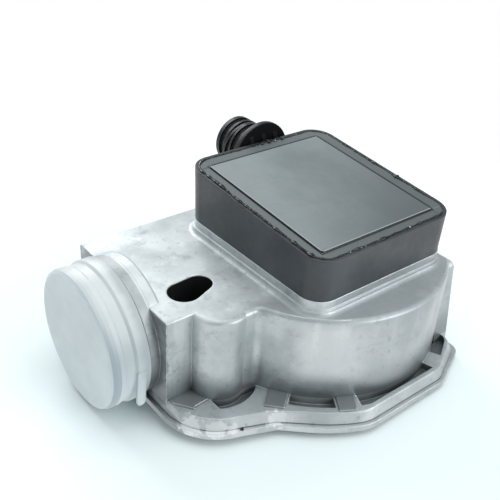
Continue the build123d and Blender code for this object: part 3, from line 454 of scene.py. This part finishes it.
# the box's sloping top: its middle, its rise to the back, half its sides and its corner radius
boxFrame = {"origin": (-2.6 * mm, 0.95 * mm, 86.5 * mm), "slope": 0.08, "halfX": 44.67 * mm,
            "halfY": 49.72 * mm, "corner": 11.7 * mm}
lidLook = {"color": (0.176, 0.207, 0.214), "second": (0.242, 0.280, 0.288), "step": (0.008, 0.010, 0.011),
           "smear": (0.265, 0.30, 0.306), "band": (0.095, 0.112, 0.116), "dark": (0.075, 0.09, 0.094),
           "glint": (0.34, 0.37, 0.38), "cloud": (22, 5, 0.6), "cloudRange": (0.3, 0.7),
           "wipe": (1, 3, 0.5, 0.6), "wipePlace": ((20, 34, 30), (0, 0, 0.5)),
           "rough": (0.35, 0.7, 0.26, 0.34), "patches": (1, 4, 0.55),
           "patchPlace": ((30, 15, 20), (0, 0, 0.9), (0.3, 0.1, 0)),
           "patchRange": (0.42, 0.60, 0, 0.6), "dust": (1400, 2), "dustRange": (0.7, 0.8, 0, 0.3),
           "slant": (-45 * mm, 75 * mm, 0, 0.85), "line": (-0.5 * mm, -0.15 * mm, 0.1 * mm),
           "backLine": (-1.2 * mm, -0.05 * mm, 0.1 * mm), "backAmount": 0.9, "groove": 0.55 * mm,
           "grooveLine": (0.1 * mm, 0.55 * mm, 0.15 * mm), "bandAmount": 0.75, "upward": (0.5, 0.95),
           "bump": (0.05, 1 * mm), "edge": 0.3 * mm}
lidShape = {"edge": 2.3 * mm, "top": 0.12 * mm, "panelX": -1.0 * mm, "panelY": -0.7 * mm, "halfX": 36.2 * mm,
            "halfY": 41.6 * mm, "round": 2.0 * mm, "rise": 0.8 * mm, "lean": 0.35 * mm, "cornerSteps": 10}


def lidPoint(u, v, height):
    tilt = math.atan(boxFrame["slope"])
    x, y, z = boxFrame["origin"]
    return Vector((x + u, y + v * math.cos(tilt) - height * math.sin(tilt),
                   z + v * math.sin(tilt) + height * math.cos(tilt)))


def roundedRectangle(halfX, halfY, radius, steps):
    # points round a rectangle, corner by corner, with the outward direction at each
    points = []
    for quarter, (signX, signY) in enumerate(((1, 1), (-1, 1), (-1, -1), (1, -1))):
        for step in range(steps + 1):
            angle = math.pi / 2 * (quarter + step / steps)
            out = Vector((math.cos(angle), math.sin(angle)))
            points.append((Vector((signX * (halfX - radius), signY * (halfY - radius))) + out * radius, out))
    return points


def bridgeLoops(bm, first, second):
    count = len(first)
    for i in range(count):
        bm.faces.new((first[i], first[(i + 1) % count], second[(i + 1) % count], second[i]))


def addPiece(name, bm, mat, *stands):
    # stands: the nodes that the new piece is shown instead of
    mesh = bpy.data.meshes.new(name)
    bmesh.ops.recalc_face_normals(bm, faces=bm.faces)
    bm.to_mesh(mesh)
    bm.free()
    mesh.materials.append(mat)
    piece = bpy.data.objects.new(name, mesh)
    scene.collection.objects.link(piece)
    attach(piece, "housing")
    if stands:
        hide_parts(*stands)
    return piece


def pastPanel(tree, coords, shape):
    # how far a point lies outside the raised panel: on its back sides, and on its front sides
    x, y, z = placeOf(tree, coords)
    middleX, middleY = boxFrame["origin"][0] + shape["panelX"], boxFrame["origin"][1] + shape["panelY"]
    back = calc(tree, "MAXIMUM", calc(tree, "SUBTRACT", x, middleX + shape["halfX"]),
                calc(tree, "SUBTRACT", y, middleY + shape["halfY"]))
    front = calc(tree, "MAXIMUM", calc(tree, "SUBTRACT", middleX - shape["halfX"], x),
                 calc(tree, "SUBTRACT", middleY - shape["halfY"], y))
    return back, front


def lidMaterial(look, shape):
    mat, tree, shader, coords = startMaterial("lidLacquer")
    cloud = noise(tree, coords, *look["cloud"])
    wipe = noise(tree, mapped(tree, coords, *look["wipePlace"]), *look["wipe"])
    patches = noise(tree, mapped(tree, coords, *look["patchPlace"]), *look["patches"])
    dust = noise(tree, coords, *look["dust"])
    color = blendColors(tree, ramp(tree, cloud, *look["cloudRange"]), look["color"], look["second"])
    color = blendColors(tree, ramp(tree, patches, *look["patchRange"]), color, look["smear"])
    color = blendColors(tree, ramp(tree, dust, *look["dustRange"]), color, look["smear"])
    x, y, z = placeOf(tree, coords)
    # painted reflection: the lacquer is painted darker towards the right
    color = blendColors(tree, ramp(tree, calc(tree, "SUBTRACT", x, y), *look["slant"]), color, look["dark"])
    back, front = pastPanel(tree, coords, shape)
    past = calc(tree, "MAXIMUM", back, front)
    color = blendColors(tree, between(tree, front, *look["line"]), color, look["glint"])
    # painted shade: dark lines round the panel, along its back sides and in a groove all round it
    backLine = times(tree, between(tree, back, *look["backLine"]), look["backAmount"])
    color = blendColors(tree, backLine, color, look["step"])
    color = blendColors(tree, ramp(tree, past, 0, look["groove"], 0, look["bandAmount"]), color, look["band"])
    color = blendColors(tree, between(tree, past, *look["grooveLine"]), color, look["step"])
    # painted shade: faces that do not look up, the panel's step walls, are painted dark
    color = blendColors(tree, ramp(tree, facing(tree)[2], *look["upward"]), look["step"], color)
    normal = bumpFrom(tree, cloud, *look["bump"], softEdges(tree, look["edge"]))
    linkTo(tree, shader, color=color, rough=ramp(tree, wipe, *look["rough"]), normal=normal)
    return mat


def makeLid(shape):
    bm = bmesh.new()
    steps = shape["cornerSteps"]
    outer = roundedRectangle(boxFrame["halfX"] - shape["edge"], boxFrame["halfY"] - shape["edge"],
                             boxFrame["corner"] - shape["edge"], steps)
    foot = roundedRectangle(shape["halfX"] + shape["lean"], shape["halfY"] + shape["lean"], shape["round"],
                            steps)
    panel = roundedRectangle(shape["halfX"], shape["halfY"], shape["round"], steps)
    loops = []
    for points, height, aside in ((outer, 0, (0, 0)), (outer, shape["top"], (0, 0)),
                                  (foot, shape["top"], (shape["panelX"], shape["panelY"])),
                                  (panel, shape["top"] + shape["rise"], (shape["panelX"], shape["panelY"]))):
        loops.append([bm.verts.new(lidPoint(at.x + aside[0], at.y + aside[1], height)) for at, out in points])
    for first, second in zip(loops, loops[1:]):
        bridgeLoops(bm, first, second)
    bm.faces.new(loops[0])
    bm.faces.new(loops[-1])
    return addPiece("lidSheet", bm, lidMaterial(lidLook, shape), "lid_plate")


makeLid(lidShape)


# ---- crescent behind the root ring: closes the spigot's bore where it stands above the roof

padShape = {"axisY": 24.75 * mm, "axisZ": 30.5 * mm, "foot": 54.3 * mm, "steps": 40,
            "loops": ((-100.3 * mm, 34.0 * mm), (-95.9 * mm, 34.0 * mm), (-95.0 * mm, 33.6 * mm),
                      (-94.6 * mm, 32.6 * mm))}


def makePad(shape):
    bm = bmesh.new()
    loops = []
    for x, radius in shape["loops"]:
        half = math.acos((shape["foot"] - shape["axisZ"]) / radius)
        turns = [half * (2 * step / shape["steps"] - 1) for step in range(shape["steps"] + 1)]
        loops.append([bm.verts.new((x, shape["axisY"] + radius * math.sin(turn),
                                    shape["axisZ"] + radius * math.cos(turn))) for turn in turns])
    for first, second in zip(loops, loops[1:]):
        bridgeLoops(bm, first, second)
    bm.faces.new(loops[0])
    bm.faces.new(loops[-1])
    return addPiece("rootPad", bm, castAluminium)


makePad(padShape)


# ---- machined tops of the screw lands: they stand clear of the flange's rim

landShape = {"foot": 9.2 * mm, "top": 10.4 * mm, "round": 0.3 * mm, "segments": 3,
             "outlines": (((-99.3, -16.8), (-99.3, -14.0), (-88.5, -13.0), (-81.8, -21.8), (-83.7, -23.5),
                           (-92.3, -24.0), (-93.0, -25.6)),
                          ((-66.0, -41.7), (-56.3, -33.9), (-50.5, -41.4), (-59.5, -48.5)),
                          ((-39.8, -64.6), (-34.1, -55.7), (-25.5, -59.6), (-32.7, -68.8)))}


def makeLands(shape):
    bm = bmesh.new()
    for outline in shape["outlines"]:
        foot = [bm.verts.new((x * mm, y * mm, shape["foot"])) for x, y in outline]
        top = [bm.verts.new((x * mm, y * mm, shape["top"])) for x, y in outline]
        bridgeLoops(bm, foot, top)
        bm.faces.new(foot)
        bm.faces.new(top)
    middle = (shape["foot"] + shape["top"]) / 2
    high = [edge for edge in bm.edges if max(vertex.co.z for vertex in edge.verts) > middle]
    bmesh.ops.bevel(bm, geom=high, offset=shape["round"], offset_type="OFFSET", affect="EDGES",
                    segments=shape["segments"], profile=0.5, material=-1)
    return addPiece("landTops", bm, castAluminium)


makeLands(landShape)


# ---- sealing compound: glossy black, squeezed unevenly out of the joint round the lid

sealLook = {"color": (0.005, 0.006, 0.007), "second": (0.022, 0.025, 0.027), "speck": (0.42, 0.45, 0.46),
            "rough": (0.3, 0.7, 0.08, 0.28), "lumps": (260, 4, 0.6), "lumpRange": (0.45, 0.7),
            "specks": (520, 3, 0.6), "speckRange": (0.64, 0.70), "bump": (0.7, 0.6 * mm)}
beadShape = {"edge": 2.05 * mm, "width": 0.60 * mm, "least": 0.25 * mm, "wander": 0.20 * mm,
             "swell": 0.30 * mm, "broad": 0.7, "fine": 0.25, "reaches": (31, 13, 2), "seed": 11,
             "sides": 8, "spacing": 0.45 * mm, "cornerSteps": 16, "squash": 0.4, "lumpReach": 1.1 * mm,
             "lumps": ((41.6, 3.8, 0.9), (42.2, -12.1, 1.0), (2.0, 47.9, 1.0), (6.5, 48.1, 1.5),
                       (11.0, 48.0, 1.0), (15.5, 47.8, 1.2), (-43.2, 22.8, 0.5), (-42.4, -41.0, 0.7),
                       (-20.9, -48.2, 0.5), (-43.4, 38.0, 0.5), (-43.0, 33.0, 0.5), (-43.0, 3.0, 0.4),
                       (-43.0, -18.0, 0.5), (-42.9, -30.0, 0.6), (-5.0, -48.1, 0.4), (20.0, -48.0, 0.5),
                       (42.4, -26.0, 0.5), (42.3, 18.0, 0.5))}


def sealantMaterial(look):
    mat, tree, shader, coords = startMaterial("sealant")
    lumps = noise(tree, coords, *look["lumps"])
    specks = noise(tree, coords, *look["specks"])
    color = blendColors(tree, ramp(tree, lumps, *look["lumpRange"]), look["color"], look["second"])
    # painted highlight: pale specks stand in for glints on the bead
    color = blendColors(tree, ramp(tree, specks, *look["speckRange"]), color, look["speck"])
    linkTo(tree, shader, color=color, rough=ramp(tree, lumps, *look["rough"]),
           normal=bumpFrom(tree, lumps, *look["bump"]))
    return mat


def smoothRandom(source, count, reach):
    # random values between -1 and 1 that run smoothly round a closed line
    raw = [source.uniform(-1, 1) for _ in range(count)]
    return [sum(raw[(i + k) % count] for k in range(reach)) / math.sqrt(reach) for i in range(count)]


def beadPath(shape):
    corners = roundedRectangle(boxFrame["halfX"] - shape["edge"], boxFrame["halfY"] - shape["edge"],
                               boxFrame["corner"] - shape["edge"], shape["cornerSteps"])
    path = []
    for (start, out), (end, outEnd) in zip(corners, corners[1:] + corners[:1]):
        pieces = max(1, round((end - start).length / shape["spacing"]))
        path += [(start.lerp(end, k / pieces), out.lerp(outEnd, k / pieces).normalized())
                 for k in range(pieces)]
    return path


def beadSize(shape, at, broad, fine):
    size = shape["width"] + shape["swell"] * (shape["broad"] * broad + shape["fine"] * fine)
    for u, v, lump in shape["lumps"]:
        away = (at.x - u * mm) ** 2 + (at.y - v * mm) ** 2
        size += lump * mm * math.exp(-away / shape["lumpReach"] ** 2)
    return max(size, shape["least"])


def makeBead(shape):
    bm = bmesh.new()
    source = random.Random(shape["seed"])
    path = beadPath(shape)
    drift, swell, fine = (smoothRandom(source, len(path), reach) for reach in shape["reaches"])
    rings = []
    for i, (at, out) in enumerate(path):
        size = beadSize(shape, at, swell[i], fine[i])
        middle = at + out * shape["wander"] * drift[i]
        ring = []
        for side in range(shape["sides"]):
            angle = 2 * math.pi * side / shape["sides"]
            across = middle + out * size * math.cos(angle)
            height = size * shape["squash"] * (1 + math.sin(angle))
            ring.append(bm.verts.new(lidPoint(across.x, across.y, height)))
        rings.append(ring)
    for first, second in zip(rings, rings[1:] + rings[:1]):
        bridgeLoops(bm, first, second)
    for face in bm.faces:
        face.smooth = True
    return addPiece("sealantBead", bm, sealantMaterial(sealLook), "sealant_bead")


makeBead(beadShape)
print("all pieces have a finish")


# ---- stage: pale floor that falls off to white, soft lamps, camera

stageLook = {"floorSize": 6.0, "floorColor": (0.83, 0.93, 0.94), "farColor": (0.90, 0.96, 0.97),
             "colorReach": (0.05, 0.3), "whiteReach": (0.155, 0.34), "floorRough": 0.7,
             "worldColor": (0.93, 0.98, 1.0), "worldStrength": 0.42}


def floorSlope():
    # the part lies on the far edge of its base and on the rim of the cap, which hangs a little lower
    lowest = min((vertex.co for vertex in nodes["transit_cap"].data.vertices), key=lambda co: co.z)
    edge = max(vertex.co.x for vertex in nodes["base_cover"].data.vertices if vertex.co.z < 0.1 * mm)
    return edge, -lowest.z / (edge - lowest.x)


def floorMaterial(look):
    mat, tree, shader, coords = startMaterial("paleFloor")
    reach = addNode(tree, "VectorMath", {0: coords}, operation="LENGTH").outputs["Value"]
    tone = blendColors(tree, ramp(tree, reach, *look["colorReach"]), look["floorColor"], look["farColor"])
    linkTo(tree, shader, color=tone)
    shader.inputs["Roughness"].default_value = look["floorRough"]
    # near the object the floor is lit plainly; further out it turns to clean white for the eye
    seen = addNode(tree, "LightPath")
    mirrored = calc(tree, "MAXIMUM", seen.outputs["Is Glossy Ray"], seen.outputs["Is Transmission Ray"])
    direct = calc(tree, "MAXIMUM", seen.outputs["Is Camera Ray"], mirrored)
    glow = calc(tree, "MAXIMUM", ramp(tree, reach, *look["whiteReach"]), mirrored)
    white = addNode(tree, "Emission", {"Color": (1, 1, 1, 1), "Strength": 1.0})
    mix = addNode(tree, "MixShader", {0: times(tree, glow, direct)})
    tree.links.new(shader.outputs[0], mix.inputs[1])
    tree.links.new(white.outputs[0], mix.inputs[2])
    tree.links.new(mix.outputs[0], tree.nodes["Material Output"].inputs["Surface"])
    return mat


def makeFloor(look):
    edge, slope = floorSlope()
    bm = bmesh.new()
    bmesh.ops.create_grid(bm, x_segments=1, y_segments=1, size=look["floorSize"])
    for vertex in bm.verts:
        vertex.co.z = (vertex.co.x - edge) * slope
    mesh = bpy.data.meshes.new("floor")
    bm.to_mesh(mesh)
    bm.free()
    mesh.materials.append(floorMaterial(look))
    floor = bpy.data.objects.new("floor", mesh)
    scene.collection.objects.link(floor)


def makeWorld(look):
    world = bpy.data.worlds.new("studio")
    scene.world = world
    world.use_nodes = True
    tree = world.node_tree
    soft = tree.nodes["Background"]
    soft.inputs["Color"].default_value = (*look["worldColor"], 1)
    soft.inputs["Strength"].default_value = look["worldStrength"]
    white = addNode(tree, "Background", {"Color": (1, 1, 1, 1), "Strength": 1.0})
    seen = addNode(tree, "LightPath")
    mix = addNode(tree, "MixShader", {0: seen.outputs["Is Camera Ray"]})
    tree.links.new(soft.outputs[0], mix.inputs[1])
    tree.links.new(white.outputs[0], mix.inputs[2])
    tree.links.new(mix.outputs[0], tree.nodes["World Output"].inputs["Surface"])


lampAim = Vector((-0.02, 0.01, 0.04))
lampLook = {
    "back": {"place": (0.02, 0.85, 0.55), "size": (0.75, 0.7), "power": 5.8},
    "left": {"place": (-0.70, 0.05, 0.45), "size": (0.5, 0.5), "power": 0.6},
    "top": {"place": (0.05, -0.05, 0.90), "size": (0.7, 0.7), "power": 3.3},
    "right": {"place": (0.25, -0.68, 0.37), "size": (0.6, 0.6), "power": 3.9},
}


def makeLamps(look, aim):
    for name, item in look.items():
        data = bpy.data.lights.new(name, "AREA")
        data.shape = "RECTANGLE"
        data.size, data.size_y = item["size"]
        data.energy = item["power"]
        lamp = bpy.data.objects.new(name, data)
        lamp.location = item["place"]
        lamp.rotation_euler = (aim - lamp.location).to_track_quat("-Z", "Y").to_euler()
        scene.collection.objects.link(lamp)


cameraLook = {"azimuth": -40.5, "elevation": 32.04, "roll": 3.84, "distance": 0.37977, "lens": 53.52,
              "sensor": 36.0, "nearest": 0.01, "target": (-0.0288, 0.0191, 0.0495)}


def makeCamera(look):
    a, e, r = (math.radians(look[key]) for key in ("azimuth", "elevation", "roll"))
    back = Vector((math.sin(a) * math.cos(e), -math.cos(a) * math.cos(e), math.sin(e)))
    side = (-back).cross(Vector((0, 0, 1))).normalized()
    top = side.cross(-back)
    right = side * math.cos(r) + top * math.sin(r)
    up = top * math.cos(r) - side * math.sin(r)
    data = bpy.data.cameras.new("camera")
    data.lens = look["lens"]
    data.sensor_width = look["sensor"]
    data.clip_start = look["nearest"]
    camera = bpy.data.objects.new("camera", data)
    turn = Matrix((right, up, back)).transposed()
    camera.matrix_world = Matrix.Translation(Vector(look["target"]) + back * look["distance"]) @ turn.to_4x4()
    scene.collection.objects.link(camera)
    scene.camera = camera


makeFloor(stageLook)
makeWorld(stageLook)
makeLamps(lampLook, lampAim)
makeCamera(cameraLook)
print("stage, lamps and camera ready")
